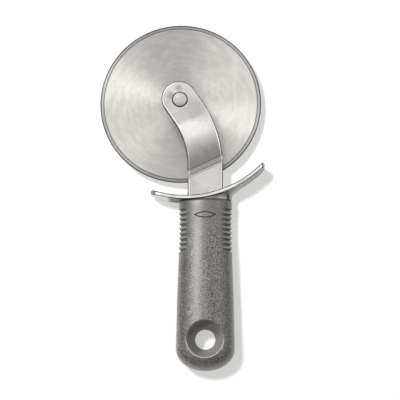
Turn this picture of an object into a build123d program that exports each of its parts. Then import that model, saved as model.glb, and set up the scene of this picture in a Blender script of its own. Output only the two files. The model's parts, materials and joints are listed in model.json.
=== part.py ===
from build123d import *
import math
import os

# Pizza cutter wheel, in millimetres.
# Origin: centre of the hanging hole, on the mid-plane of the handle.
# +X to the right, +Y along the handle towards the wheel, +Z out of the front face.

# Cutting wheel: a stainless disc, ground to an edge from both faces
wheel_radius = 50.8
wheel_thickness = 1.2
bevel_width = 2.3
edge_thickness = 0.2
wheel_guard_gap = 9.0
wheel_left_shift = 15.8

# Bearing of the wheel: acetal bush pressed into the disc, running on the rivet
rivet_shank_radius = 3.0
running_clearance = 0.05
bush_wall = 2.0
press_clearance = 0.01
flange_radius = 7.6
flange_thickness = 1.0
end_play = 0.12

# Rivet: domed head in front, tail spread over a steel burr at the back
rivet_head_radius = 4.6
rivet_head_height = 1.4
rivet_tail_radius = 4.3
rivet_tail_height = 1.5
head_edge_height = 0.45
burr_radius = 6.6
burr_thickness = 0.8

# Arm: one thick steel strip, leaning to the wheel and stepped forward over its hub
arm_width = 22.0
arm_thickness = 4.0
arm_lean = 33.5
bend_above_rim = 9.5
arm_wheel_gap = 1.2
arm_step = 6.0
step_above_rim = 8.4
crest_axle_gap = 9.6
ramp_foot_radius = 8.0
bend_line_angle = 25.0
front_round = 1.3
back_chamfer = 0.4
boss_radius = 7.6
end_past_axle = 1.0
# Radius of the step's crest, as a share of the largest that the ramp has room for
crest_share = 0.94

# Tang of the arm, held in the core of the handle
tang_width = 13.0
tang_length = 52.0
tang_corner = 2.0
key_hole_radius = 2.5
key_hole_spacing = 22.0
key_hole_inset = 9.0
fit_clearance = 0.05

# Guard: curved plate with a flared foot that caps the handle
guard_thickness = 2.6
guard_depth = 18.0
guard_left_reach = 34.4
guard_right_reach = 37.0
guard_flare = 15.2
guard_low_shift = 3.5
guard_round = 0.6
guard_left_corner = 7.0
guard_right_corner = 4.0
foot_least_height = 0.5
foot_side_inset = 0.3
foot_face_inset = 3.0
foot_rise = 0.8
foot_cove_radius = 5.5
foot_cove_angle = 50.0
shoulder_height = 1.6

# Handle: oval soft grip over a rigid core
handle_top = 86.0
end_centre_drop = 6.0
end_length = 13.2
belly_half_width = 18.05
belly_half_thickness = 12.0
top_chamfer = 0.6
# Ovals up the handle: height above its rounded end, and width, as shares of its own sizes
side_shares = (
    (0.10, 0.996),
    (0.25, 0.981),
    (0.42, 0.957),
    (0.58, 0.929),
    (0.72, 0.904),
    (0.86, 0.895),
    (1.00, 0.912),
)
# Ovals round the handle's end, as angles from its tip to its widest oval
end_angles = (88.5, 80, 70, 58, 45, 30, 15, 0)

# Hanging hole, with a dish on both faces and an eye in the core round it
hole_radius = 6.2
hole_land = 3.0
dish_radius = 11.3
dish_wall_height = 8.5
dish_chamfer = 0.4
dish_bulge_share = 0.12

# Core inside the grip: a rounded bar that ends in a flat ring about the hanging hole
grip_wall = 2.8
bar_corner_share = 0.95
eye_wall = 1.7
ring_wall = 2.4
ring_thickness = 7.2
bar_low_y = 8.0

# Soft fins on both sides of the neck, and the bare oval mark on the front
groove_count = 9
groove_pitch = 3.1
groove_width = 1.8
groove_depth = 0.9
groove_face_depth = 0.15
groove_reach = 5.6
end_groove_share = 0.55
first_groove_drop = 6.0
mark_length = 13.8
mark_width = 3.8
mark_drop = 9.5
mark_line = 0.5
mark_depth = 0.4

# Every cutter runs past the face that it cuts by this much
overrun = 5.0
# A face counts as level or upright by the share of its normal that points along Z
level_share = 0.2

# Heights along the handle that follow from the sizes above
guard_low_y = handle_top + foot_least_height + guard_thickness
rim_low_y = guard_low_y + wheel_guard_gap
axle_y = rim_low_y + wheel_radius
axle_x = -wheel_left_shift
shoulder_y = handle_top + shoulder_height
tang_end_y = shoulder_y - tang_length
key_hole_places = [(0, tang_end_y + key_hole_inset), (0, tang_end_y + key_hole_inset + key_hole_spacing)]
end_centre_y = -end_centre_drop
side_length = handle_top - end_centre_y
neck_share = min(width_share for height_share, width_share in side_shares)
neck_half_width = belly_half_width * neck_share
neck_half_thickness = belly_half_thickness * neck_share
eye_radius = dish_radius + eye_wall

# Depths from the mid-plane of the wheel, from back to front
wheel_front = wheel_thickness / 2
washer_back = -wheel_front - flange_thickness
burr_front = washer_back - end_play
burr_back = burr_front - burr_thickness
flange_front = wheel_front + flange_thickness
boss_face = flange_front + end_play
arm_back_low = wheel_front + arm_wheel_gap
arm_middle_low = arm_back_low + arm_thickness / 2
arm_middle_high = arm_middle_low + arm_step
arm_front_high = arm_middle_high + arm_thickness / 2

axle = Axis((axle_x, axle_y, 0), (0, 0, 1))
axle_section = Plane(origin=(axle_x, axle_y, 0), x_dir=(1, 0, 0), z_dir=(0, -1, 0))


def axle_ring(outer_radius, inner_radius, low, high):
    """A turned ring about the wheel's axle, between two depths."""
    with BuildPart() as ring:
        with BuildSketch(axle_section):
            with Locations(((outer_radius + inner_radius) / 2, (low + high) / 2)):
                Rectangle(outer_radius - inner_radius, high - low)
        revolve(axis=axle)
    return ring.part


def oval_body():
    """The handle's outer form: ovals lofted from the rounded end to the top."""
    stations = []
    for angle in end_angles:
        drop_share = math.sin(math.radians(angle))
        spread_share = math.cos(math.radians(angle))
        stations.append((end_centre_y - end_length * drop_share, spread_share))
    for height_share, width_share in side_shares:
        stations.append((end_centre_y + side_length * height_share, width_share))
    with BuildPart() as body:
        for station_y, share in stations:
            with BuildSketch(Plane.XZ.offset(-station_y)):
                Ellipse(belly_half_width * share, belly_half_thickness * share)
        loft()
    return body.part


def neck_oval(inset):
    """A straight oval bar under the whole neck, smaller than it by inset all round."""
    with BuildPart() as bar:
        with BuildSketch(Plane.XZ.offset(-handle_top)):
            Ellipse(neck_half_width - inset, neck_half_thickness - inset)
        extrude(amount=side_length)
    return bar.part


def core_body(growth):
    """The core's outer form, grown all round by growth."""
    bar_width = 2 * (neck_half_width - grip_wall + growth)
    bar_thickness = 2 * (neck_half_thickness - grip_wall + growth)
    bar_corner = bar_thickness / 2 * bar_corner_share
    half_ring = ring_thickness / 2 + growth
    with BuildPart() as body:
        with BuildSketch(Plane.XZ.offset(-handle_top)):
            RectangleRounded(bar_width, bar_thickness, bar_corner)
        extrude(amount=handle_top - bar_low_y + growth)
        with BuildSketch(Plane.XY.offset(-half_ring)):
            Circle(eye_radius + ring_wall + growth)
        extrude(amount=2 * half_ring)
        with BuildSketch(Plane.XY.offset(-belly_half_thickness)):
            Circle(eye_radius - growth)
        extrude(amount=2 * belly_half_thickness, mode=Mode.SUBTRACT)
    return body.part


def tang_slot():
    """The space that the tang fills below its shoulders, with its clearance all round."""
    slot_width = tang_width + 2 * fit_clearance
    slot_low = tang_end_y - fit_clearance
    slot_high = shoulder_y + guard_thickness
    with BuildPart() as slot:
        with BuildSketch(Plane.XY.offset(arm_back_low - fit_clearance)):
            with Locations((0, (slot_low + slot_high) / 2)):
                RectangleRounded(slot_width, slot_high - slot_low, tang_corner + fit_clearance)
        extrude(amount=arm_thickness + 2 * fit_clearance)
    return slot.part


# Cutting wheel: a flat disc with a double bevel ground round its rim
with BuildPart() as cutting_wheel:
    with BuildSketch(axle_section):
        with BuildLine():
            bore_radius = rivet_shank_radius + running_clearance + bush_wall + press_clearance
            Polyline(
                (bore_radius, -wheel_front),
                (wheel_radius - bevel_width, -wheel_front),
                (wheel_radius, -edge_thickness / 2),
                (wheel_radius, edge_thickness / 2),
                (wheel_radius - bevel_width, wheel_front),
                (bore_radius, wheel_front),
                close=True,
            )
        make_face()
    revolve(axis=axle)

# Wheel bush: barrel through the disc, with a flange that runs against the arm's boss
with BuildPart() as wheel_bush:
    bush_bore_radius = rivet_shank_radius + running_clearance
    add(axle_ring(bush_bore_radius + bush_wall, bush_bore_radius, -wheel_front, wheel_front))
    add(axle_ring(flange_radius, bush_bore_radius, wheel_front, flange_front))

# Thrust washer: acetal ring behind the disc, turning with it
with BuildPart() as thrust_washer:
    add(axle_ring(flange_radius, bush_bore_radius, washer_back, -wheel_front))

# Rivet burr: steel ring that the rivet's tail is spread over
with BuildPart() as rivet_burr:
    add(axle_ring(burr_radius, rivet_shank_radius + press_clearance, burr_back, burr_front))

# Axle rivet: domed head, straight shank and spread tail, turned in one piece
with BuildPart() as axle_rivet:
    with BuildSketch(axle_section):
        with BuildLine():
            head_top = (0, arm_front_high + rivet_head_height)
            head_rim = (rivet_head_radius, arm_front_high + head_edge_height)
            tail_top = (0, burr_back - rivet_tail_height)
            tail_rim = (rivet_tail_radius, burr_back - head_edge_height)
            TangentArc(head_top, head_rim, tangent=(1, 0))
            Polyline(
                head_rim,
                (rivet_head_radius, arm_front_high),
                (rivet_shank_radius, arm_front_high),
                (rivet_shank_radius, burr_back),
                (rivet_tail_radius, burr_back),
                tail_rim,
            )
            TangentArc(tail_top, tail_rim, tangent=(1, 0))
            Line(tail_top, head_top)
        make_face()
    revolve(axis=axle)

# Arm: the step is a bent strip seen from its edge, drawn square to the bend lines,
# and the leaning outline with its tang is cut out of that strip. The ramp has the angle
# that brings its crest to an end at the named gap from the axle
bend_line = math.radians(bend_line_angle)
foot_y = rim_low_y + step_above_rim
step_run = (axle_y - foot_y) * math.cos(bend_line) - axle_x * math.sin(bend_line) - crest_axle_gap
ramp_angle = arm_step * (1 + crest_share) / step_run
ramp_length = arm_step / math.sin(ramp_angle)
ramp_run = arm_step / math.tan(ramp_angle)
crest_radius = (ramp_length / math.tan(ramp_angle / 2) - ramp_foot_radius) * crest_share
lean = math.radians(arm_lean)
bend_y = axle_y - wheel_left_shift / math.tan(lean)
bend_radius = (bend_y - rim_low_y - bend_above_rim) / math.tan(lean / 2)
arm_end = (axle_x - end_past_axle * math.sin(lean), axle_y + end_past_axle * math.cos(lean))
step_section = Plane(
    origin=(0, foot_y, 0),
    x_dir=(-math.sin(bend_line), math.cos(bend_line), 0),
    z_dir=(math.cos(bend_line), math.sin(bend_line), 0),
)


def upright(face):
    """True for the arm's edge walls, which stand along Z."""
    return abs(face.normal_at().Z) < level_share


def outline_edges(strip, facing):
    """The strip's edges above the shoulders where a wall meets the skin that faces up (1) or down (-1)."""
    wall_edges = set(strip.faces().filter_by(upright).edges())
    skin = strip.faces().filter_by(lambda face: face.normal_at().Z * facing > level_share)
    return [edge for edge in skin.edges() if edge in wall_edges and edge.center().Y > shoulder_y]


with BuildPart() as arm:
    with BuildSketch(step_section):
        with BuildLine():
            FilletPolyline(
                (-axle_y - tang_length, arm_middle_low),
                (0, arm_middle_low),
                (ramp_run, arm_middle_high),
                (axle_y, arm_middle_high),
                radius=[ramp_foot_radius, crest_radius],
            )
        trace(line_width=arm_thickness)
    extrude(amount=wheel_radius + wheel_left_shift, both=True)
    with BuildSketch(Plane.XY):
        with BuildLine():
            FilletPolyline((0, shoulder_y), (0, bend_y), arm_end, radius=bend_radius)
        trace(line_width=arm_width)
        with Locations(arm_end):
            Circle(arm_width / 2)
        with Locations((0, shoulder_y + (tang_corner - tang_length) / 2)):
            RectangleRounded(tang_width, tang_length + tang_corner, tang_corner)
    extrude(amount=arm_front_high + overrun, mode=Mode.INTERSECT)
    fillet(outline_edges(arm, 1), radius=front_round)
    chamfer(outline_edges(arm, -1), length=back_chamfer)
    with BuildSketch(Plane.XY.offset(boss_face)):
        with Locations((axle_x, axle_y)):
            Circle(boss_radius)
    extrude(amount=arm_middle_high - boss_face)
    with BuildSketch(Plane.XY):
        with Locations((axle_x, axle_y)):
            Circle(rivet_shank_radius + press_clearance)
        with Locations(*key_hole_places):
            Circle(key_hole_radius)
    extrude(amount=arm_front_high + overrun, mode=Mode.SUBTRACT)

# Guard: the plate is a thick arc with rounded tips, and the foot flares up to it like a
# trumpet of oval section, so its cove grows on the side where the plate climbs
guard_radius = wheel_radius + guard_flare
plate_radius = guard_radius + guard_thickness / 2
guard_centre_x = axle_x + guard_low_shift
guard_centre = (guard_centre_x, guard_low_y + guard_radius)
tip_radius = guard_thickness / 2
left_angle = math.degrees(math.asin((guard_centre_x + guard_left_reach - tip_radius) / plate_radius))
right_angle = math.degrees(math.asin((guard_right_reach - tip_radius - guard_centre_x) / plate_radius))
foot_half_width = belly_half_width * side_shares[-1][1] - foot_side_inset
foot_half_thickness = belly_half_thickness * side_shares[-1][1] - foot_face_inset

with BuildPart() as trumpet:
    with BuildSketch(Plane.XY):
        with BuildLine():
            base = Line((0, handle_top), (foot_half_width, handle_top))
            rise = Line(base @ 1, (foot_half_width, handle_top + foot_rise))
            cove = JernArc(rise @ 1, (0, 1), foot_cove_radius, -foot_cove_angle)
            flare = Line(cove @ 1, cove @ 1 + (cove % 1) * foot_half_width)
            Polyline(flare @ 1, (0, (flare @ 1).Y), (0, handle_top))
        make_face()
    revolve(axis=Axis.Y)

with BuildPart() as guard_foot:
    add(scale(trumpet.part, by=(1, 1, foot_half_thickness / foot_half_width), mode=Mode.PRIVATE))
    with BuildSketch(Plane.XY.offset(-guard_depth)):
        with Locations(guard_centre):
            Circle(plate_radius)
    extrude(amount=2 * guard_depth, mode=Mode.SUBTRACT)

with BuildPart() as guard:
    with BuildSketch(Plane.XY.offset(-guard_depth / 2)):
        with BuildLine():
            plate = CenterArc(guard_centre, plate_radius, -90 - left_angle, left_angle + right_angle)
        trace(line_width=guard_thickness)
        with Locations(plate @ 0, plate @ 1):
            Circle(tip_radius)
    extrude(amount=guard_depth)
    rims = guard.edges().group_by(Axis.Z)
    fillet(rims[0] + rims[-1], radius=guard_round)
    add(guard_foot.part)
    with BuildSketch(Plane.XZ.offset(-axle_y)) as plan:
        with Locations(((guard_right_reach - guard_left_reach) / 2, 0)):
            Rectangle(guard_right_reach + guard_left_reach, guard_depth)
        fillet(plan.vertices().group_by(Axis.X)[0], radius=guard_left_corner)
        fillet(plan.vertices().group_by(Axis.X)[-1], radius=guard_right_corner)
    extrude(amount=axle_y, mode=Mode.INTERSECT)
    with BuildSketch(Plane.XZ.offset(-shoulder_y)):
        with Locations((0, arm_middle_low)):
            Rectangle(arm_width + 2 * fit_clearance, arm_thickness + 2 * fit_clearance)
    extrude(amount=-guard_depth, mode=Mode.SUBTRACT)
    add(tang_slot(), mode=Mode.SUBTRACT)

# Handle core: rigid moulding round the tang, plugged through its key holes
with BuildPart() as handle_core:
    add(core_body(0))
    add(tang_slot(), mode=Mode.SUBTRACT)
    with BuildSketch(Plane.XY.offset(arm_back_low - fit_clearance)):
        with Locations(*key_hole_places):
            Circle(key_hole_radius - fit_clearance)
    extrude(amount=arm_thickness + 2 * fit_clearance)

# Dish: straight wall, bowl and land of the hanging hole, alike on both faces
with BuildPart() as dish:
    with BuildSketch(Plane.XZ):
        with BuildLine():
            land_edge = (hole_radius, hole_land / 2)
            bowl_edge = (dish_radius, dish_wall_height)
            dish_mouth = belly_half_thickness + overrun
            Polyline((0, 0), (hole_radius, 0), land_edge)
            SagittaArc(land_edge, bowl_edge, (hole_radius - dish_radius) * dish_bulge_share)
            Polyline(bowl_edge, (dish_radius, dish_mouth), (0, dish_mouth), (0, 0))
        make_face()
    revolve(axis=Axis.Z)
    mirror(about=Plane.XY)



def side_share(side_y):
    """The handle's width at a height on its side, as a share of the belly's."""
    height_share = (side_y - end_centre_y) / side_length
    for (low, low_width), (high, high_width) in zip(side_shares, side_shares[1:]):
        if low <= height_share <= high:
            return low_width + (high_width - low_width) * (height_share - low) / (high - low)


# Grooves between the fins: each runs out towards the front and the back, and the row's first
# and last are shorter
with BuildPart() as grooves:
    for index in range(groove_count):
        groove_y = handle_top - first_groove_drop - index * groove_pitch
        half_width = belly_half_width * side_share(groove_y)
        half_thickness = belly_half_thickness * side_share(groove_y)
        reach = groove_reach * (end_groove_share if index in (0, groove_count - 1) else 1)
        box_x = half_width - reach + (reach + overrun) / 2
        with Locations((box_x, groove_y, 0), (-box_x, groove_y, 0)):
            Box(reach + overrun, groove_width, 2 * belly_half_thickness)
        with BuildSketch(Plane.XZ.offset(-groove_y - groove_pitch / 2)):
            Ellipse(half_width - groove_depth, half_thickness - groove_face_depth)
        extrude(amount=groove_pitch, mode=Mode.SUBTRACT)

# Mark on the front: the engraved outline of a pointed oval, left bare
with BuildPart() as mark:
    with BuildSketch(Plane.XY) as lens:
        with Locations((0, handle_top - mark_drop)):
            with BuildLine():
                mark_ends = (-mark_length / 2, 0), (mark_length / 2, 0)
                ThreePointArc(mark_ends[0], (0, mark_width / 2), mark_ends[1])
                ThreePointArc(mark_ends[0], (0, -mark_width / 2), mark_ends[1])
            make_face()
        offset(amount=-mark_line, mode=Mode.SUBTRACT)
    extrude(amount=belly_half_thickness)
    add(neck_oval(mark_depth), mode=Mode.SUBTRACT)


def on_dish_rim(edge):
    """True for the closed edges where the dish's straight wall meets the outside of the grip."""
    centre = edge.center()
    return abs(centre.Z) > dish_wall_height and abs(centre.Y) < hole_radius


# Handle grip: the soft outer moulding, which also fills the eye and forms the dished hole
with BuildPart() as handle_grip:
    add(oval_body())
    add(core_body(fit_clearance), mode=Mode.SUBTRACT)
    add(dish.part, mode=Mode.SUBTRACT)
    add(grooves.part, mode=Mode.SUBTRACT)
    add(mark.part, mode=Mode.SUBTRACT)
    chamfer(handle_grip.edges().filter_by(on_dish_rim), length=dish_chamfer)
    top_edges = handle_grip.edges().group_by(Axis.Y)[-1]
    chamfer(top_edges.sort_by(SortBy.LENGTH)[-1], length=top_chamfer)

os.makedirs("parts", exist_ok=True)

cutting_wheel.part.label = "cutting_wheel"
export_step(cutting_wheel.part, "parts/cutting_wheel.step")

wheel_bush.part.label = "wheel_bush"
export_step(wheel_bush.part, "parts/wheel_bush.step")

thrust_washer.part.label = "thrust_washer"
export_step(thrust_washer.part, "parts/thrust_washer.step")

rivet_burr.part.label = "rivet_burr"
export_step(rivet_burr.part, "parts/rivet_burr.step")

axle_rivet.part.label = "axle_rivet"
export_step(axle_rivet.part, "parts/axle_rivet.step")

arm.part.label = "arm"
export_step(arm.part, "parts/arm.step")

guard.part.label = "guard"
export_step(guard.part, "parts/guard.step")

handle_core.part.label = "handle_core"
export_step(handle_core.part, "parts/handle_core.step")

handle_grip.part.label = "handle_grip"
export_step(handle_grip.part, "parts/handle_grip.step")
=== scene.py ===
# %% [markdown]
# # Pizza cutter wheel
#
# A round cutting disc turns on a rivet at the end of a curved steel arm. The arm passes through a steel
# finger guard into an oval soft-grip handle with a hanging hole. The tool lies on its back on a white
# table and is seen from almost straight above.
#
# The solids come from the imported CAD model, so nothing here has to be fitted: a node is where it belongs,
# in metres. This lesson gives them their finishes, puts the tool on its table and lights it.

import json
import math

import bmesh
import bpy
from mathutils import Matrix, Vector

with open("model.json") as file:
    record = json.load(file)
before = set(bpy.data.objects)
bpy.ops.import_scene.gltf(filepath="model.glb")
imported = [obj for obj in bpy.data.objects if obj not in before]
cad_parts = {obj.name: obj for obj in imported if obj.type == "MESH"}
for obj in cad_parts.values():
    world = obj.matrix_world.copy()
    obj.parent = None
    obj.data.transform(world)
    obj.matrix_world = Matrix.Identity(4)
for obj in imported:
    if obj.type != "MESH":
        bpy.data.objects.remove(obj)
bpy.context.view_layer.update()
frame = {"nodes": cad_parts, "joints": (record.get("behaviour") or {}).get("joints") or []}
nodes = frame["nodes"]
MM = 0.001
axle_x, axle_y, _ = frame["joints"][0]["pos_m"]
print("nodes", len(nodes), "axle", axle_x, axle_y)

# %% [markdown]
# ## The camera
#
# The photograph was taken from almost a metre away with a long lens, so circles stay nearly round. The
# camera could be placed by eye, but a camera that is worked out from the disc's rim, the sides of the
# handle and its hanging hole puts every edge where the photograph has it. Its place and the point it
# looks at are in millimetres, in the tool's own frame.

# %% The camera
CAMERA_PLACE = Vector((24.907, -65.012, 935.4)) * MM
CAMERA_AIM = Vector((-3.445, 87.214, 0.0)) * MM
CAMERA_ROLL = 0.002
FOCAL_PIXELS = 1517.045
PICTURE_PIXELS = 400.0
SENSOR_WIDTH = 36.0
NEAREST_SEEN = 10 * MM

view = (CAMERA_AIM - CAMERA_PLACE).normalized()
right = view.cross(Vector((0, 1, 0))).normalized()
up = right.cross(view)
turned_right = right * math.cos(CAMERA_ROLL) + up * math.sin(CAMERA_ROLL)
turned_up = up * math.cos(CAMERA_ROLL) - right * math.sin(CAMERA_ROLL)
camera_data = bpy.data.cameras.new("camera")
camera_data.sensor_width = SENSOR_WIDTH
camera_data.lens = FOCAL_PIXELS * SENSOR_WIDTH / PICTURE_PIXELS
camera_data.clip_start = NEAREST_SEEN
camera = bpy.data.objects.new("camera", camera_data)
camera_axes = Matrix((turned_right, turned_up, -view)).transposed().to_4x4()
camera.matrix_world = Matrix.Translation(CAMERA_PLACE) @ camera_axes
bpy.context.scene.collection.objects.link(camera)
bpy.context.scene.camera = camera
print("lens", round(camera_data.lens, 1), "mm")

# %% [markdown]
# ## Tools for finishes
#
# Every finish below is a node tree. A few short helpers keep the trees readable. The first ones add nodes
# and do sums with them.


# %% Nodes and sums
def add_node(tree, kind, values=(), **settings):
    """A node with its settings and the values of its sockets."""
    node = tree.nodes.new(kind)
    for name, value in settings.items():
        setattr(node, name, value)
    for socket, value in dict(values).items():
        node.inputs[socket].default_value = value
    return node


def connect(tree, *pairs):
    """Links, each from an output to an input."""
    for source, target in pairs:
        tree.links.new(source, target)


def calculate(tree, operation, *terms):
    """A Math node whose terms are sockets or numbers, and its output."""
    node = tree.nodes.new("ShaderNodeMath")
    node.operation = operation
    for place, term in enumerate(terms):
        if isinstance(term, (int, float)):
            node.inputs[place].default_value = term
        else:
            tree.links.new(term, node.inputs[place])
    return node.outputs[0]


def times(tree, first, second):
    """Where both of two masks are, or one value made fainter by another."""
    return calculate(tree, "MULTIPLY", first, second)


def minus(tree, first, second):
    """One value less another. One less a mask is the opposite mask."""
    return calculate(tree, "SUBTRACT", first, second)


# %% [markdown]
# Masks and colours come next. A mask is a number from none to one that says where an effect is, and a
# finish is built like paint: one colour laid over another, each through its own mask. Most masks come from
# a noise, which lies mostly between 0.3 and 0.7, so the first two numbers of a spread are where on the
# noise an effect begins and where it is full.

# %% Masks and colours
WHOLE_NOISE = (0.3, 0.7)
MIDDLE_NOISE = (0.35, 0.65)


def spread(tree, value, low, high, to_low=0.0, to_high=1.0):
    """A value carried from one range to another, softly, and never past its ends."""
    node = add_node(tree, "ShaderNodeMapRange", interpolation_type="SMOOTHSTEP")
    for socket, number in zip(("From Min", "From Max", "To Min", "To Max"), (low, high, to_low, to_high)):
        node.inputs[socket].default_value = number
    tree.links.new(value, node.inputs["Value"])
    return node.outputs["Result"]


def band(tree, value, low, high, softness):
    """A mask that is one between two values, with soft ends."""
    begun = spread(tree, value, low - softness / 2, low + softness / 2)
    not_over = spread(tree, value, high - softness / 2, high + softness / 2, 1.0, 0.0)
    return times(tree, begun, not_over)


def blend(tree, mask, first, second):
    """Two colours blended by a mask. Each is a socket or a colour."""
    node = add_node(tree, "ShaderNodeMix", data_type="RGBA")
    tree.links.new(mask, node.inputs["Factor"])
    for socket, colour in ((node.inputs[6], first), (node.inputs[7], second)):
        if isinstance(colour, tuple):
            socket.default_value = (*colour, 1)
        else:
            tree.links.new(colour, socket)
    return node.outputs[2]


def lay(tree, coloured, *layers):
    """Colours laid over one another, each through its mask and with its strength."""
    for mask, strength, tone in layers:
        coloured = blend(tree, mask if strength == 1.0 else times(tree, mask, strength), coloured, tone)
    return coloured


def position(tree):
    """The place of a point in the tool's own frame, as its three parts."""
    place = add_node(tree, "ShaderNodeTexCoord")
    parts = add_node(tree, "ShaderNodeSeparateXYZ")
    connect(tree, (place.outputs["Object"], parts.inputs[0]))
    return [parts.outputs[axis] for axis in "XYZ"]


# %% [markdown]
# The last helpers start a group or a finish, place a group in a tree and put a finish on its pieces. A
# number that is the same all over a piece stays on the shader's own socket.


# %% Groups and finishes
def new_group(name, **sockets):
    """A node group with its input sockets and one output, and the nodes that hold them."""
    group = bpy.data.node_groups.new(name, "ShaderNodeTree")
    for socket, kind in sockets.items():
        group.interface.new_socket(socket, in_out="INPUT", socket_type="NodeSocket" + kind)
    group.interface.new_socket("Value", in_out="OUTPUT", socket_type="NodeSocketFloat")
    given = group.nodes.new("NodeGroupInput").outputs
    result = group.nodes.new("NodeGroupOutput").inputs["Value"]
    return group, given, result


def use_group(tree, group, **values):
    """A group placed in a tree with its own values, and its output."""
    node = add_node(tree, "ShaderNodeGroup", node_tree=group)
    for socket, value in values.items():
        node.inputs[socket].default_value = value
    return node.outputs["Value"]


def new_finish(name, **sockets):
    """A material with its shader and the shader's constant numbers."""
    finish = bpy.data.materials.new(name)
    finish.use_nodes = True
    shader = finish.node_tree.nodes["Principled BSDF"]
    for socket, value in sockets.items():
        shader.inputs[socket.replace("_", " ")].default_value = value
    return finish, finish.node_tree, shader


def bump(tree, shader, height, strength, distance):
    """Small relief on a finish, without a change to the shape."""
    node = add_node(tree, "ShaderNodeBump", {"Strength": strength, "Distance": distance})
    connect(tree, (height, node.inputs["Height"]), (node.outputs["Normal"], shader.inputs["Normal"]))


def dress(finish, *node_names):
    """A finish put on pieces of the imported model."""
    for node_name in node_names:
        for slot in nodes[node_name].material_slots:
            slot.material = finish
    print(finish.name, "on", ", ".join(node_names), "with", len(finish.node_tree.nodes), "nodes")


# %% [markdown]
# ## Effects that several finishes share
#
# Four small groups do most of the work. Grain is a noise that can be stretched, for brushing, rubber and
# stains. It could be painted on an image instead, but a group can be used at any size.

# %% Grain
GRAIN_ROUGHNESS = 0.6
EVEN = (1.0, 1.0, 1.0)
grain, given, result = new_group("grain", Scale="Float", Stretch="Vector", Detail="Float")
place = add_node(grain, "ShaderNodeTexCoord")
stretched = add_node(grain, "ShaderNodeVectorMath", operation="MULTIPLY")
noise = add_node(grain, "ShaderNodeTexNoise", {"Roughness": GRAIN_ROUGHNESS})
connect(
    grain,
    (place.outputs["Object"], stretched.inputs[0]),
    (given["Stretch"], stretched.inputs[1]),
    (stretched.outputs[0], noise.inputs["Vector"]),
    (given["Scale"], noise.inputs["Scale"]),
    (given["Detail"], noise.inputs["Detail"]),
    (noise.outputs["Fac"], result),
)
print("group", grain.name, "with", len(grain.nodes), "nodes")

# %% [markdown]
# Facing tells how far a surface looks along a direction. It finds the walls of a stamped piece, which get
# a rougher skin and painted shade beside its polished flat sides, and the rounded edges between them.

# %% Facing
UP = (0.0, 0.0, 1.0)
facing, given, result = new_group("facing", Direction="Vector", Low="Float", High="Float")
place = add_node(facing, "ShaderNodeTexCoord")
product = add_node(facing, "ShaderNodeVectorMath", operation="DOT_PRODUCT")
ranged = add_node(facing, "ShaderNodeMapRange", interpolation_type="SMOOTHSTEP")
connect(
    facing,
    (place.outputs["Normal"], product.inputs[0]),
    (given["Direction"], product.inputs[1]),
    (calculate(facing, "ABSOLUTE", product.outputs["Value"]), ranged.inputs["Value"]),
    (given["Low"], ranged.inputs["From Min"]),
    (given["High"], ranged.inputs["From Max"]),
    (ranged.outputs["Result"], result),
)
print("group", facing.name, "with", len(facing.nodes), "nodes")


def lying(tree, low, high):
    """A mask of what lies flat: none on a wall, and full where the surface looks up or down."""
    return use_group(tree, facing, Direction=UP, Low=low, High=high)


def standing(tree, low, high):
    """The opposite mask, of the walls."""
    return minus(tree, 1.0, lying(tree, low, high))


# %% [markdown]
# A ring marks everything between two distances from a centre, for the ground rim, the seam of the rivet and
# the lip of the hanging hole. Round scratches run about the axle, because a disc is ground while it turns.
# Both measure how far a point is from a centre, seen from above. A ring without an inner distance is a
# round spot, and one without an outer distance is everything outside a circle.

# %% Ring
NO_INNER = -5.0 * MM
NO_OUTER = 1.0


def level_way(group, centre):
    """The level way from a centre to a point, and its length."""
    place = add_node(group, "ShaderNodeTexCoord")
    offset = add_node(group, "ShaderNodeVectorMath", operation="SUBTRACT")
    level = add_node(group, "ShaderNodeVectorMath", {1: (1, 1, 0)}, operation="MULTIPLY")
    reach = add_node(group, "ShaderNodeVectorMath", operation="LENGTH")
    connect(
        group,
        (place.outputs["Object"], offset.inputs[0]),
        (centre, offset.inputs[1]),
        (offset.outputs[0], level.inputs[0]),
        (level.outputs[0], reach.inputs[0]),
    )
    return level.outputs[0], reach.outputs["Value"]


ring, given, result = new_group("ring", Centre="Vector", Inner="Float", Outer="Float", Softness="Float")
_, reach = level_way(ring, given["Centre"])
past_inner = minus(ring, reach, given["Inner"])
before_outer = minus(ring, given["Outer"], reach)
inside = calculate(ring, "MINIMUM", past_inner, before_outer)
softened = calculate(ring, "DIVIDE", inside, given["Softness"])
lifted = calculate(ring, "ADD", softened, 0.5)
connect(ring, (calculate(ring, "MAXIMUM", calculate(ring, "MINIMUM", lifted, 1.0), 0.0), result))
print("group", ring.name, "with", len(ring.nodes), "nodes")

# %% Round scratches
AXLE = (axle_x, axle_y, 0.0)
SCRATCH_DETAIL = 2.0
scratches, given, result = new_group("round scratches", Centre="Vector", Across="Float", Along="Float")
level, reach = level_way(scratches, given["Centre"])
heading = add_node(scratches, "ShaderNodeVectorMath", operation="NORMALIZE")
around = add_node(scratches, "ShaderNodeVectorMath", operation="SCALE")
upward = add_node(scratches, "ShaderNodeCombineXYZ")
joined = add_node(scratches, "ShaderNodeVectorMath", operation="ADD")
noise = add_node(scratches, "ShaderNodeTexNoise", {"Scale": 1.0, "Detail": SCRATCH_DETAIL})
connect(
    scratches,
    (level, heading.inputs[0]),
    (heading.outputs[0], around.inputs[0]),
    (given["Along"], around.inputs["Scale"]),
    (times(scratches, reach, given["Across"]), upward.inputs["Z"]),
    (around.outputs[0], joined.inputs[0]),
    (upward.outputs[0], joined.inputs[1]),
    (joined.outputs[0], noise.inputs["Vector"]),
    (noise.outputs["Fac"], result),
)
print("group", scratches.name, "with", len(scratches.nodes), "nodes")
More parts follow.
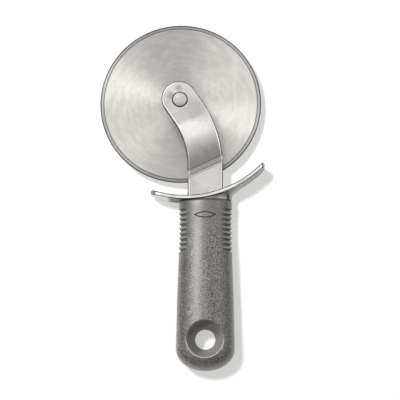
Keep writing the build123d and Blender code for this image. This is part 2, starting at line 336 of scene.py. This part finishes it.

# %% [markdown]
# ## Brushed steel of the disc
#
# The round scratches catch a lamp in two fans, like the grooves of a record. Painted fans would turn with
# the disc, and real ones stay where the lamp puts them. So the shader makes them: anisotropic gloss with
# tangents that run round the axle. Some scratches are duller than others, which breaks the fans up into
# fine streaks. The rim is ground again to a bevel. Its darker tone and the fine dark line on either side
# are painted shade, standing in for the dark reflections of the bevel's slope and edges.

# %% Disc finish
DULL_DISC = (0.63, 0.606, 0.585)
BRIGHT_DISC = (0.71, 0.684, 0.661)
STAINED_DISC = (0.50, 0.485, 0.465)
DULL_SCRATCH, BRIGHT_SCRATCH = 0.70, 0.54
# each ring of painted shade on the rim: where it begins and ends, how soft its edges are, and its tone
BEVEL = ((48.5 * MM, 50.5 * MM), 0.20 * MM, (0.46, 0.446, 0.429))
BEVEL_SHADE_LINE = ((48.2 * MM, 48.75 * MM), 0.25 * MM, (0.19, 0.182, 0.174))
RIM_SHADE_LINE = ((50.1 * MM, 51.5 * MM), 0.20 * MM, (0.11, 0.106, 0.102))
disc_finish, tree, shader = new_finish(
    "brushed disc steel", Metallic=1.0, Anisotropic=1.0, Anisotropic_Rotation=0.25
)
tangent = add_node(tree, "ShaderNodeTangent", direction_type="RADIAL", axis="Z")
connect(tree, (tangent.outputs[0], shader.inputs["Tangent"]))
fine = use_group(tree, scratches, Centre=AXLE, Across=3600.0, Along=10.0)
broad = use_group(tree, scratches, Centre=AXLE, Across=420.0, Along=5.0)
stains = use_group(tree, grain, Scale=45.0, Stretch=EVEN, Detail=3.0)
scratched = spread(tree, fine, *MIDDLE_NOISE, DULL_SCRATCH, BRIGHT_SCRATCH)
connect(tree, (scratched, shader.inputs["Roughness"]))
coloured = lay(
    tree,
    DULL_DISC,
    (spread(tree, broad, *WHOLE_NOISE), 1.0, BRIGHT_DISC),
    (spread(tree, stains, 0.45, 0.75), 0.35, STAINED_DISC),
)
# the bevel and its two lines are laid on as painted shade
for (inner, outer), softness, tone in (BEVEL, BEVEL_SHADE_LINE, RIM_SHADE_LINE):
    painted_rim = use_group(tree, ring, Centre=AXLE, Inner=inner, Outer=outer, Softness=softness)
    coloured = blend(tree, painted_rim, coloured, tone)
connect(tree, (coloured, shader.inputs["Base Color"]))
bump(tree, shader, broad, 0.10, 0.02 * MM)
dress(disc_finish, "cutting_wheel")

# %% [markdown]
# ## Polished steel of the arm and the guard
#
# Both are stamped from thick sheet and polished on their flat sides. The polish isn't even: it has faint
# lengthwise brushing, stains and shallow waves that make the edges of a reflection wander. The stamped
# walls keep a rougher skin, and their darker tone is painted shade. One function makes both finishes,
# because they differ only in their numbers, and hands back the colour so far, so that each piece can add
# its own marks.

# %% Polished finish
DULL_SHARE = 0.74
STAIN_HAZE = 0.07
WALL_HAZE = 0.3
BRUSHING_HEIGHT = 0.05


def polish(name, roughness, tone, wall_shade, steep, flat):
    """A polished finish that turns to the walls' painted shade between two shares of looking up."""
    finish, tree, shader = new_finish(name, Metallic=1.0)
    brushing = use_group(tree, grain, Scale=1.0, Stretch=(2600, 60, 2600), Detail=2.0)
    stains = use_group(tree, grain, Scale=70.0, Stretch=EVEN, Detail=4.0)
    waves = use_group(tree, grain, Scale=110.0, Stretch=(1, 0.6, 1), Detail=1.0)
    walls = standing(tree, steep, flat)
    dull = tuple(DULL_SHARE * part for part in tone)
    coloured = lay(
        tree,
        tone,
        (spread(tree, stains, 0.4, 0.7), 1.0, dull),
        (spread(tree, brushing, 0.55, 0.75), 0.3, dull),
        # the walls are laid on as painted shade
        (walls, 1.0, wall_shade),
    )
    gloss = spread(tree, stains, 0.35, 0.7, roughness, roughness + STAIN_HAZE)
    wall_gloss = spread(tree, walls, 0.0, 1.0, 0.0, WALL_HAZE)
    connect(tree, (calculate(tree, "ADD", gloss, wall_gloss), shader.inputs["Roughness"]))
    height = calculate(tree, "ADD", waves, times(tree, brushing, BRUSHING_HEIGHT))
    bump(tree, shader, height, 0.10, 0.3 * MM)
    return finish, tree, shader, coloured


# %% [markdown]
# The arm's rounded edges and walls get a dark line of painted shade, with the sheer walls a little lighter
# but still painted shade, and a painted highlight beside it on the sides that run lengthwise. Across the
# fold lie a painted highlight band and a painted shade band, with a thin line of painted shade above each.
# Two dark patches on the boss are painted reflections, and painted shade darkens the seam about the
# rivet's head. The bands of the fold could be cut into the solid, but they are painted light and shade in
# the polish.

# %% Places and tones on the arm
ARM_STEEL = (0.81, 0.783, 0.758)
# painted shade on the arm's walls and rounded edges, and a lighter painted shade on its sheer walls
ARM_WALL_SHADE = (0.08, 0.077, 0.074)
SHEER_WALL_SHADE = (0.26, 0.254, 0.246)
# painted highlight beside the arm's rounded edges
EDGE_HIGHLIGHT = (0.86, 0.85, 0.83)
# painted dark reflections on the boss
BOSS_DARK_REFLECTION = (0.40, 0.39, 0.38)
# painted shade in the seam about the rivet's head
SEAM_SHADE = (0.06, 0.058, 0.056)
# painted shade and painted highlight across the fold
CREASE_SHADE = (0.42, 0.412, 0.40)
FOLD_HIGHLIGHT = (1.0, 0.975, 0.945)
FOLD_SHADE = (0.44, 0.431, 0.418)
BEND_ANGLE = math.radians(25.0)
BEND_LINE = (math.cos(BEND_ANGLE), math.sin(BEND_ANGLE), 0.0)
BEND_SQUARE = (-math.sin(BEND_ANGLE), math.cos(BEND_ANGLE), 0.0)
BEND_PLACE = 106.5 * MM * math.cos(BEND_ANGLE)
FOLD_BANDS = (
    # from and to, past the bend towards the disc, and the tone of the painted highlight or shade
    (2.8 * MM, 3.3 * MM, CREASE_SHADE),
    (0.35 * MM, 2.55 * MM, FOLD_HIGHLIGHT),
    (-1.6 * MM, 0.0, FOLD_SHADE),
    (-0.15 * MM, 0.3 * MM, CREASE_SHADE),
)
FOLD_SOFTNESS = 0.3 * MM
# each painted dark reflection on the boss: its centre and its size
DARK_REFLECTION_PLACES = (((-21.6 * MM, 151.6 * MM, 0.0), 2.0 * MM), ((-16.6 * MM, 156.2 * MM, 0.0), 1.7 * MM))
DARK_REFLECTION_SOFTNESS = 2.6 * MM
SEAM = (4.5 * MM, 5.0 * MM)
print("bend at", round(math.degrees(BEND_ANGLE)), "degrees with", len(FOLD_BANDS), "bands")

# %% Arm finish
arm_finish, tree, shader, coloured = polish(
    "polished arm steel", 0.10, ARM_STEEL, ARM_WALL_SHADE, steep=0.75, flat=0.86
)
# where the painted highlight lies, beside the rounded edges that run lengthwise
lengthwise = use_group(tree, facing, Direction=BEND_LINE, Low=0.05, High=0.20)
highlight_strip = times(tree, lengthwise, lying(tree, 0.80, 0.88))
coloured = lay(
    tree,
    coloured,
    # painted shade on the sheer walls, and a painted highlight beside the rounded edges
    (standing(tree, 0.05, 0.22), 1.0, SHEER_WALL_SHADE),
    (highlight_strip, 1.0, EDGE_HIGHLIGHT),
)
# two painted dark reflections on the boss
for centre, size in DARK_REFLECTION_PLACES:
    dark_reflection = use_group(tree, ring, Centre=centre, Inner=NO_INNER, Outer=size, Softness=DARK_REFLECTION_SOFTNESS)
    coloured = lay(tree, coloured, (dark_reflection, 0.8, BOSS_DARK_REFLECTION))
place = add_node(tree, "ShaderNodeTexCoord")
across = add_node(tree, "ShaderNodeVectorMath", {1: BEND_SQUARE}, operation="DOT_PRODUCT")
connect(tree, (place.outputs["Object"], across.inputs[0]))
past_bend = minus(tree, across.outputs["Value"], BEND_PLACE)
# the fold's bands are painted highlight and painted shade
for low, high, tone in FOLD_BANDS:
    coloured = blend(tree, band(tree, past_bend, low, high, FOLD_SOFTNESS), coloured, tone)
# painted shade in the seam between the rivet's head and the arm
seam = use_group(tree, ring, Centre=AXLE, Inner=SEAM[0], Outer=SEAM[1], Softness=0.25 * MM)
connect(tree, (blend(tree, seam, coloured, SEAM_SHADE), shader.inputs["Base Color"]))
dress(arm_finish, "arm")

# %% [markdown]
# The guard's edge is a bright band between two fine lines of painted shade. Outside the outer line, its
# foot flares down to the handle and is darkened with painted shade, darkest in the gap where it meets the
# rubber. The left wall gets a light painted reflection of the open table.

# %% Places and tones on the guard
GUARD_STEEL = (0.97, 0.95, 0.93)
# painted shade on the guard's walls
GUARD_WALL_SHADE = (0.42, 0.41, 0.40)
# painted shade on the guard's foot
FOOT_SHADE = (0.31, 0.303, 0.295)
# painted shade in the fine lines along the guard's edge
GUARD_LINE_SHADE = (0.10, 0.097, 0.094)
# painted reflection of the lit table on the guard's left wall
LEFT_WALL_REFLECTION = (0.80, 0.785, 0.77)
GAP_SHADE = (0.07, 0.068, 0.066)
GUARD_CENTRE = (-12.3 * MM, 155.1 * MM, 0.0)
INNER_EDGE = (65.8 * MM, 66.6 * MM)
OUTER_EDGE = (68.2 * MM, 68.75 * MM)
LEFT_WALL_END = (-17 * MM, -10 * MM)
FOOT_END = (87.0 * MM, 87.6 * MM)
print("guard's edge", round((OUTER_EDGE[0] - INNER_EDGE[1]) / MM, 2), "mm between its lines")

# %% Guard finish
guard_finish, tree, shader, coloured = polish(
    "polished guard steel", 0.14, GUARD_STEEL, GUARD_WALL_SHADE, steep=0.60, flat=0.80
)
foot = use_group(tree, ring, Centre=GUARD_CENTRE, Inner=OUTER_EDGE[0], Outer=NO_OUTER, Softness=0.4 * MM)
raised = lying(tree, 0.35, 0.70)
rounded = lying(tree, 0.20, 0.75)
walls = standing(tree, 0.10, 0.50)
# painted shade on the sloping foot
coloured = lay(tree, coloured, (times(tree, foot, raised), 1.0, FOOT_SHADE))
# the two lines along the edge are painted shade
for inner, outer in (INNER_EDGE, OUTER_EDGE):
    line_shade = use_group(tree, ring, Centre=GUARD_CENTRE, Inner=inner, Outer=outer, Softness=0.3 * MM)
    coloured = lay(tree, coloured, (times(tree, line_shade, rounded), 1.0, GUARD_LINE_SHADE))
point_x, point_y, _ = position(tree)
reflected_wall = times(tree, walls, spread(tree, point_x, *LEFT_WALL_END, 0.9, 0.0))
foot_shade = times(tree, foot, spread(tree, point_y, *FOOT_END, 0.85, 0.0))
coloured = lay(tree, coloured, (reflected_wall, 1.0, LEFT_WALL_REFLECTION), (foot_shade, 1.0, GAP_SHADE))
connect(tree, (coloured, shader.inputs["Base Color"]))
dress(guard_finish, "guard")

# %% [markdown]
# ## The rivet and the small parts behind the disc
#
# The rivet's head is pressed in a die, so it is a satin dome. The dark ring at its edge, where it meets
# the arm, is painted shade. The bush and the washer are turned from white plastic and keep fine rings from
# the tool. The core of the handle is a plain moulding that shows nowhere, with the faint grain of its
# mould.

# %% Rivet finish
RIVET_EDGE = (4.15 * MM, 7.0 * MM)
RIVET_ROUGHNESS = (0.50, 0.60)
SATIN, STAINED_SATIN, HEAD_EDGE_SHADE = (0.70, 0.68, 0.66), (0.60, 0.58, 0.56), (0.13, 0.125, 0.12)
rivet_finish, tree, shader = new_finish("satin rivet steel", Metallic=1.0)
turned = use_group(tree, scratches, Centre=AXLE, Across=5200.0, Along=3.0)
stains = use_group(tree, grain, Scale=260.0, Stretch=EVEN, Detail=3.0)
# painted shade in a ring at the edge of the rivet's head
edge = use_group(tree, ring, Centre=AXLE, Inner=RIVET_EDGE[0], Outer=RIVET_EDGE[1], Softness=0.25 * MM)
dome = blend(tree, spread(tree, stains, 0.35, 0.7), SATIN, STAINED_SATIN)
connect(tree, (blend(tree, edge, dome, HEAD_EDGE_SHADE), shader.inputs["Base Color"]))
connect(tree, (spread(tree, turned, *WHOLE_NOISE, *RIVET_ROUGHNESS), shader.inputs["Roughness"]))
bump(tree, shader, turned, 0.08, 0.03 * MM)
dress(rivet_finish, "axle_rivet", "rivet_burr")

# %% Bearing finish
BEARING_ROUGHNESS = (0.34, 0.5)
WHITE_PLASTIC, WORN_PLASTIC = (0.74, 0.73, 0.69), (0.66, 0.65, 0.61)
bearing_finish, tree, shader = new_finish("turned bearing plastic", Specular_IOR_Level=0.5)
turned = use_group(tree, scratches, Centre=AXLE, Across=2600.0, Along=2.0)
whites = blend(tree, spread(tree, turned, *MIDDLE_NOISE), WHITE_PLASTIC, WORN_PLASTIC)
connect(tree, (whites, shader.inputs["Base Color"]))
connect(tree, (spread(tree, turned, *WHOLE_NOISE, *BEARING_ROUGHNESS), shader.inputs["Roughness"]))
bump(tree, shader, turned, 0.15, 0.05 * MM)
dress(bearing_finish, "wheel_bush", "thrust_washer")

# %% Core finish
CORE_ROUGHNESS = (0.45, 0.6)
BLACK_PLASTIC, GREY_PLASTIC = (0.050, 0.050, 0.050), (0.070, 0.069, 0.067)
core_finish, tree, shader = new_finish("moulded core plastic", Specular_IOR_Level=0.4)
mould = use_group(tree, grain, Scale=900.0, Stretch=EVEN, Detail=3.0)
blacks = blend(tree, spread(tree, mould, *MIDDLE_NOISE), BLACK_PLASTIC, GREY_PLASTIC)
connect(tree, (blacks, shader.inputs["Base Color"]))
connect(tree, (spread(tree, mould, *WHOLE_NOISE, *CORE_ROUGHNESS), shader.inputs["Roughness"]))
bump(tree, shader, mould, 0.2, 0.05 * MM)
dress(core_finish, "handle_core")

# %% [markdown]
# ## Soft rubber of the grip
#
# The grip is a warm grey rubber that a matt mould leaves with a fine grain, so its highlight breaks up in
# specks. The grooves between the fins are darkened with painted shade, and the fins get a painted
# highlight. The outline of the oval mark is an engraved line filled with painted shade, and the lip of the
# hanging hole gets a painted highlight on the side away from the disc. The masks for these are worked out
# from the same sizes as the solids, in the tool's own frame.

# %% Sizes on the grip
GROOVE_TOP = 80.9 * MM
GROOVE_PITCH = 3.1 * MM
GROOVE_WIDTH = 1.8 * MM
GROOVE_ROWS = 9
GROOVE_REACH = 10.3 * MM
MARK_HEIGHT = 76.5 * MM
MARK_HALF_LENGTH = 6.9 * MM
MARK_HALF_WIDTH = 1.9 * MM
MARK_LINE = 0.5 * MM
HOLE = (0.0, 0.0, 0.0)
LIP = (11.25 * MM, 11.85 * MM)
BOWL = (6.3 * MM, 11.2 * MM)
FRONT = (4.0 * MM, 6.0 * MM)
# the side of the lip that gets the painted highlight
LIP_HIGHLIGHT_SIDE = (4.0 * MM, -3.0 * MM)
LIT_SIDE = (1.0 * MM, 9.0 * MM)
print("grooves", GROOVE_ROWS, "rows of", round(GROOVE_PITCH / MM, 1), "mm")

# %% Grip finish
grip_finish, tree, shader = new_finish(
    "grained grip rubber", Specular_IOR_Level=1.0, Sheen_Weight=0.3, Sheen_Roughness=0.35
)
speckle = use_group(tree, grain, Scale=1200.0, Stretch=EVEN, Detail=3.0)
cloud = use_group(tree, grain, Scale=60.0, Stretch=(1, 0.5, 1), Detail=3.0)
point_x, point_y, point_z = position(tree)
aside = calculate(tree, "ABSOLUTE", point_x)
print("grip finish begun with", len(tree.nodes), "nodes")

# %% [markdown]
# The grooves repeat down each side, so a remainder of the height finds the place within one groove and its
# fin. Only the rows that exist are kept, and only the part outside the plain middle of the grip.

# %% Mask of the grooves
down = minus(tree, GROOVE_TOP, point_y)
phase = calculate(tree, "FLOORED_MODULO", down, GROOVE_PITCH)
from_middle = calculate(tree, "ABSOLUTE", minus(tree, phase, GROOVE_WIDTH / 2))
in_groove = spread(tree, from_middle, GROOVE_WIDTH / 2 - 0.1 * MM, GROOVE_WIDTH / 2 + 0.15 * MM, 1.0, 0.0)
rows_end = GROOVE_ROWS * GROOVE_PITCH
begun = spread(tree, down, -0.1 * MM, 0.1 * MM)
not_over = spread(tree, down, rows_end - 1.2 * MM, rows_end - 1.0 * MM, 1.0, 0.0)
outward = spread(tree, aside, GROOVE_REACH - 0.2 * MM, GROOVE_REACH + 2.5 * MM)
finned = times(tree, times(tree, begun, not_over), outward)
grooves = times(tree, in_groove, finned)
crests = minus(tree, finned, grooves)
print("rows of grooves end", round(rows_end / MM, 1), "mm down")

# %% [markdown]
# The mark's outline is two shallow arcs that meet in points. An arc's height above the axis falls off with
# the square of the way along it, and the line is what lies within half its width of that arc.

# %% Mask of the mark's outline
along = calculate(tree, "DIVIDE", aside, MARK_HALF_LENGTH)
fall = minus(tree, 1.0, calculate(tree, "POWER", along, 2.0))
arc = times(tree, fall, MARK_HALF_WIDTH)
from_axis = calculate(tree, "ABSOLUTE", minus(tree, point_y, MARK_HEIGHT))
past_line = calculate(tree, "ADD", minus(tree, from_axis, arc), MARK_LINE / 2)
from_line = calculate(tree, "ABSOLUTE", past_line)
on_line = spread(tree, from_line, MARK_LINE / 2, MARK_LINE / 2 + 0.3 * MM, 1.0, 0.0)
on_front = spread(tree, point_z, *FRONT)
within = spread(tree, along, 0.98, 1.02, 1.0, 0.0)
mark_line = times(tree, times(tree, on_line, on_front), within)
print("mark", round(2 * MARK_HALF_LENGTH / MM, 1), "by", round(2 * MARK_HALF_WIDTH / MM, 1), "mm")

# %% Mask of the lip and the bowl of the hanging hole
lip = use_group(tree, ring, Centre=HOLE, Inner=LIP[0], Outer=LIP[1], Softness=0.2 * MM)
bowl = use_group(tree, ring, Centre=HOLE, Inner=BOWL[0], Outer=BOWL[1], Softness=0.8 * MM)
highlight_side = spread(tree, point_y, *LIP_HIGHLIGHT_SIDE)
lower_right = spread(tree, minus(tree, point_x, point_y), *LIT_SIDE)
print("lip", round((LIP[1] - LIP[0]) / MM, 1), "mm wide")

# %% [markdown]
# The colours are laid one over another: the speckled rubber, paler and plainer near the guard, clouds in
# it, a painted sheen on the sides, a band of painted shade where the top turns to the sides, a painted
# highlight on the fins, the bowl with painted light on its lower right side and a painted highlight on its
# lip, and last the painted shade in the grooves and the mark. The hollows are also rougher, so that they
# don't shine.

# %% Tones of the grip
DARK_SPECK, PALE_SPECK = (0.050, 0.046, 0.043), (0.370, 0.345, 0.317)
PLAIN_RUBBER = (0.190, 0.178, 0.164)
CLOUDED = (0.100, 0.095, 0.090)
# painted sheen on the sides of the grip
SIDE_SHEEN = (0.36, 0.35, 0.33)
# a band of painted shade where the grip's top turns towards its sides
SHADE_BAND = (0.085, 0.080, 0.075)
# painted highlight on the fin crests
FIN_HIGHLIGHT = (0.42, 0.405, 0.38)
BOWL_RUBBER, LIT_BOWL = (0.22, 0.21, 0.197), (0.40, 0.388, 0.368)
# painted highlight on the lip of the hanging hole
LIP_HIGHLIGHT = (0.72, 0.70, 0.67)
GROOVE_SHADE = (0.045, 0.042, 0.039)
# painted shade in the engraved outline of the mark
ENGRAVED_SHADE = (0.015, 0.014, 0.013)
PLAIN_FROM = (60 * MM, 74 * MM)
GRIP_ROUGHNESS = (0.31, 0.45)
HOLLOW_HAZE = 0.45
print("rubber from", DARK_SPECK, "to", PALE_SPECK)

# %% Colours of the grip
shade_band_mask = times(tree, lying(tree, 0.58, 0.72), standing(tree, 0.84, 0.96))
coloured = lay(
    tree,
    DARK_SPECK,
    (spread(tree, speckle, 0.42, 0.62), 1.0, PALE_SPECK),
    (spread(tree, point_y, *PLAIN_FROM), 0.6, PLAIN_RUBBER),
    (spread(tree, cloud, 0.4, 0.75), 0.35, CLOUDED),
    (standing(tree, 0.30, 0.65), 0.75, SIDE_SHEEN),
    (shade_band_mask, 0.45, SHADE_BAND),
    (crests, 0.6, FIN_HIGHLIGHT),
    (bowl, 0.6, BOWL_RUBBER),
    (times(tree, bowl, lower_right), 0.7, LIT_BOWL),
    (times(tree, lip, highlight_side), 0.9, LIP_HIGHLIGHT),
    (grooves, 0.8, GROOVE_SHADE),
    (mark_line, 1.0, ENGRAVED_SHADE),
)
grained = spread(tree, speckle, *WHOLE_NOISE, *GRIP_ROUGHNESS)
hollow = times(tree, calculate(tree, "MAXIMUM", mark_line, grooves), HOLLOW_HAZE)
connect(
    tree,
    (coloured, shader.inputs["Base Color"]),
    (calculate(tree, "ADD", grained, hollow), shader.inputs["Roughness"]),
)
bump(tree, shader, speckle, 0.55, 0.08 * MM)
dress(grip_finish, "handle_grip")

# %% [markdown]
# ## The table
#
# The tool rests on three places: the back of the handle near the hole, and the rear corners of the guard.
# So the white table isn't parallel to the tool. A plane through those three places gives its tilt, and
# the distance of each part above it gives each shadow its own offset.

# %% The table
REST_PLACES = [Vector((0.0, -6.0, -12.1)), Vector((36.5, 108.0, -9.0)), Vector((-34.0, 90.5, -9.0))]
TABLE_DROP = 0.15
TABLE_SIZE = 6.0
seat, corner_right, corner_left = [place * MM for place in REST_PLACES]
table_up = (corner_right - seat).cross(corner_left - seat).normalized()
turn = Vector((0, 0, 1)).rotation_difference(table_up).to_matrix().to_4x4()
mesh = bmesh.new()
bmesh.ops.create_grid(mesh, x_segments=1, y_segments=1, size=TABLE_SIZE / 2)
mesh.transform(Matrix.Translation(seat - table_up * TABLE_DROP * MM) @ turn)
table_mesh = bpy.data.meshes.new("table")
mesh.to_mesh(table_mesh)
mesh.free()
table = bpy.data.objects.new("table", table_mesh)
bpy.context.scene.collection.objects.link(table)
print("table up", [round(v, 4) for v in table_up])

# %% [markdown]
# White paper under a plain light photographs as a light grey. More light would spoil the tool's colours, so
# the table has a glow of its own instead, which keeps the shadows on it. Only the camera and reflections
# see the glow, and it adds no light to the tool. In the reflections it keeps the walls of the guard from
# turning nearly black.

# %% Table finish
PAPER = (0.8, 0.8, 0.79, 1)
SHOWN_PAPER = (0.7, 0.7, 0.7, 1)
GLOW = (1, 1, 0.975, 1)
GLOW_STRENGTH = 0.50
table_finish = bpy.data.materials.new("white table")
table_finish.use_nodes = True
tree = table_finish.node_tree
tree.nodes.clear()
output = add_node(tree, "ShaderNodeOutputMaterial")
paper = add_node(tree, "ShaderNodeBsdfDiffuse", {"Color": PAPER})
shown_paper = add_node(tree, "ShaderNodeBsdfDiffuse", {"Color": SHOWN_PAPER})
glow = add_node(tree, "ShaderNodeEmission", {"Color": GLOW, "Strength": GLOW_STRENGTH})
glowing = add_node(tree, "ShaderNodeAddShader")
pick = add_node(tree, "ShaderNodeMixShader")
seen = add_node(tree, "ShaderNodeLightPath")
direct = calculate(tree, "MAXIMUM", seen.outputs["Is Camera Ray"], seen.outputs["Is Glossy Ray"])
connect(
    tree,
    (shown_paper.outputs[0], glowing.inputs[0]),
    (glow.outputs[0], glowing.inputs[1]),
    (calculate(tree, "MAXIMUM", direct, seen.outputs["Is Transmission Ray"]), pick.inputs[0]),
    (paper.outputs[0], pick.inputs[1]),
    (glowing.outputs[0], pick.inputs[2]),
    (pick.outputs[0], output.inputs["Surface"]),
)
table_mesh.materials.append(table_finish)
print(table_finish.name, "with", len(tree.nodes), "nodes")

# %% [markdown]
# ## The light
#
# The shadows point to the lower right, so the main lamp stands at the upper left, small enough for shadows
# with soft but clear edges. It is kept out of reflections, because the polished pieces would show it as a
# white patch.

# %% Main lamp
LOOKED_AT = Vector((0, 0.09, 0))


def add_lamp(name, azimuth, elevation, distance, size_x, size_y, watts):
    """An area lamp that looks at the middle of the tool from an azimuth and an elevation."""
    lamp_data = bpy.data.lights.new(name, "AREA")
    lamp_data.shape = "RECTANGLE"
    lamp_data.size = size_x
    lamp_data.size_y = size_y
    lamp_data.energy = watts
    lamp = bpy.data.objects.new(name, lamp_data)
    level = math.cos(math.radians(elevation))
    direction = Vector(
        (
            level * math.cos(math.radians(azimuth)),
            level * math.sin(math.radians(azimuth)),
            math.sin(math.radians(elevation)),
        )
    )
    lamp.location = LOOKED_AT + direction * distance
    lamp.rotation_euler = direction.to_track_quat("Z", "Y").to_euler()
    bpy.context.scene.collection.objects.link(lamp)
    print(name, "at", [round(v, 3) for v in lamp.location], "with", watts, "W")
    return lamp


main_lamp = add_lamp(
    "main lamp", azimuth=142.5, elevation=65.8, distance=2.2, size_x=0.26, size_y=0.26, watts=30
)
main_lamp.visible_glossy = False

# %% [markdown]
# The other six lamps are only there for their gloss on the brushed disc, the rubber and the rivet, which
# spread a lamp into a fan or a soft band. Each lights its own pieces alone. Only the fan lamp is kept off
# the disc by the arm, which gives the arm its soft shadow there, and the fan fill lamp keeps that shadow
# from going too dark.

# %% Lamps for gloss
GLOSS_DISTANCE = 1.8
GLOSS_LAMPS = (
    # name, azimuth, elevation, width, length, watts, pieces, shadows of other pieces
    ("fan lamp", 141, 54, 0.18, 0.6, 5, ["cutting_wheel"], True),
    ("fan fill lamp", 141, 54, 0.18, 0.6, 3, ["cutting_wheel"], False),
    ("grip lamp", 143, 56, 0.18, 0.6, 18, ["handle_grip"], False),
    ("side lamp", 200, 60, 0.8, 0.8, 6, ["cutting_wheel", "handle_grip"], False),
    ("top lamp", 90, 76, 0.8, 0.8, 3.8, ["cutting_wheel"], False),
    ("rivet lamp", 110, 45, 0.5, 0.5, 3, ["axle_rivet"], False),
)
for name, azimuth, elevation, width, length, watts, node_names, shadows in GLOSS_LAMPS:
    lamp = add_lamp(name, azimuth, elevation, GLOSS_DISTANCE, width, length, watts)
    lamp.visible_diffuse = False
    pieces = bpy.data.collections.new(name + " pieces")
    for node_name in node_names:
        pieces.objects.link(nodes[node_name])
    lamp.light_linking.receiver_collection = pieces
    if not shadows:
        lamp.light_linking.blocker_collection = pieces

# %% [markdown]
# ## The surroundings
#
# Polished steel shows the room more than itself. What the arm shows is a soft light straight above, paler
# towards the disc, half dark towards the handle and dark near the horizon, so a slope that turns towards
# the handle goes dark and every rounded edge gets a thin dark line. The room is a sky whose strength
# follows its direction, seen only by glossy rays. Its strength is the product of a curve along the tool
# and one across it. A picture of a room could do the same, but curves can be matched to the bands on the
# arm one by one.

# %% Curves of the sky
SKY_ALONG = (
    # from -1 at the handle's end to 1 at the disc's, and the strength there
    *((-1.0, 0.25), (-0.60, 0.30), (-0.43, 0.54), (-0.39, 0.41), (-0.33, 0.38)),
    *((-0.28, 0.41), (-0.22, 0.55), (-0.165, 0.66), (-0.11, 0.80), (-0.067, 1.00)),
    *((-0.03, 1.18), (0.145, 1.18), (0.165, 0.72), (0.185, 0.74), (0.21, 0.60)),
    *((0.235, 1.02), (0.32, 0.75), (0.50, 1.15), (0.75, 1.15), (1.0, 0.45)),
)
SKY_ACROSS = (
    # from -1 at the left to 1 at the right, and the strength there
    *((-1.0, 0.55), (-0.80, 1.20), (-0.25, 1.25), (-0.10, 1.05), (0.0, 1.00)),
    *((0.20, 0.80), (0.40, 0.66), (0.60, 1.35), (0.84, 1.35), (1.0, 0.5)),
)
FULL_RAMP = 2.0


def follow(tree, value, stops):
    """A value from -1 to 1 read off a curve that is given by its stops."""
    ramp = tree.nodes.new("ShaderNodeValToRGB")
    elements = ramp.color_ramp.elements
    while len(elements) < len(stops):
        elements.new(0.5)
    for element, (place, strength) in zip(elements, stops):
        share = strength / FULL_RAMP
        element.position = (place + 1) / 2
        element.color = (share, share, share, 1)
    connect(tree, (calculate(tree, "MULTIPLY_ADD", value, 0.5, 0.5), ramp.inputs[0]))
    return times(tree, ramp.outputs[0], FULL_RAMP)


print("sky stops", len(SKY_ALONG), "and", len(SKY_ACROSS))

# %% [markdown]
# Near the horizon the sky fades to a small share of its strength, but far towards the handle more of it
# stays. Diffuse rays get an even soft light instead of the sky, and the camera gets white beyond the end of
# the table.

# %% The sky
HORIZON = (0.12, 0.48)
HORIZON_SHARE = (-0.9, -0.3, 0.7, 0.06)
WHITE = (1, 1, 1, 1)
SOFT_LIGHT = 0.22
world = bpy.data.worlds.new("studio")
bpy.context.scene.world = world
world.use_nodes = True
tree = world.node_tree
tree.nodes.clear()
output = add_node(tree, "ShaderNodeOutputWorld")
direction = add_node(tree, "ShaderNodeTexCoord")
split = add_node(tree, "ShaderNodeSeparateXYZ")
connect(tree, (direction.outputs["Generated"], split.inputs[0]))
sky_along = follow(tree, split.outputs["Y"], SKY_ALONG)
sky_across = follow(tree, split.outputs["X"], SKY_ACROSS)
left_over = spread(tree, split.outputs["Y"], *HORIZON_SHARE)
above = spread(tree, split.outputs["Z"], *HORIZON)
dim = calculate(tree, "MULTIPLY_ADD", minus(tree, 1.0, above), left_over, above)
strength = times(tree, times(tree, sky_along, sky_across), dim)
print("sky with", len(tree.nodes), "nodes so far")

# %% Who sees which light
soft = add_node(tree, "ShaderNodeBackground", {"Color": WHITE, "Strength": SOFT_LIGHT})
sky = add_node(tree, "ShaderNodeBackground", {"Color": WHITE})
white = add_node(tree, "ShaderNodeBackground", {"Color": WHITE, "Strength": 1.0})
seen = add_node(tree, "ShaderNodeLightPath")
gloss_pick = add_node(tree, "ShaderNodeMixShader")
camera_pick = add_node(tree, "ShaderNodeMixShader")
direct = calculate(tree, "MAXIMUM", seen.outputs["Is Camera Ray"], seen.outputs["Is Transmission Ray"])
connect(
    tree,
    (strength, sky.inputs["Strength"]),
    (seen.outputs["Is Glossy Ray"], gloss_pick.inputs[0]),
    (soft.outputs[0], gloss_pick.inputs[1]),
    (sky.outputs[0], gloss_pick.inputs[2]),
    (direct, camera_pick.inputs[0]),
    (gloss_pick.outputs[0], camera_pick.inputs[1]),
    (white.outputs[0], camera_pick.inputs[2]),
    (camera_pick.outputs[0], output.inputs["Surface"]),
)
print(world.name, "with", len(tree.nodes), "nodes")

# %% [markdown]
# ## Colour
#
# The picture's colours are shown as they are, without a film curve. Nothing here adds a shape to the tool.

# %% Colour
bpy.context.scene.view_settings.view_transform = "Standard"
print("view", bpy.context.scene.view_settings.view_transform)
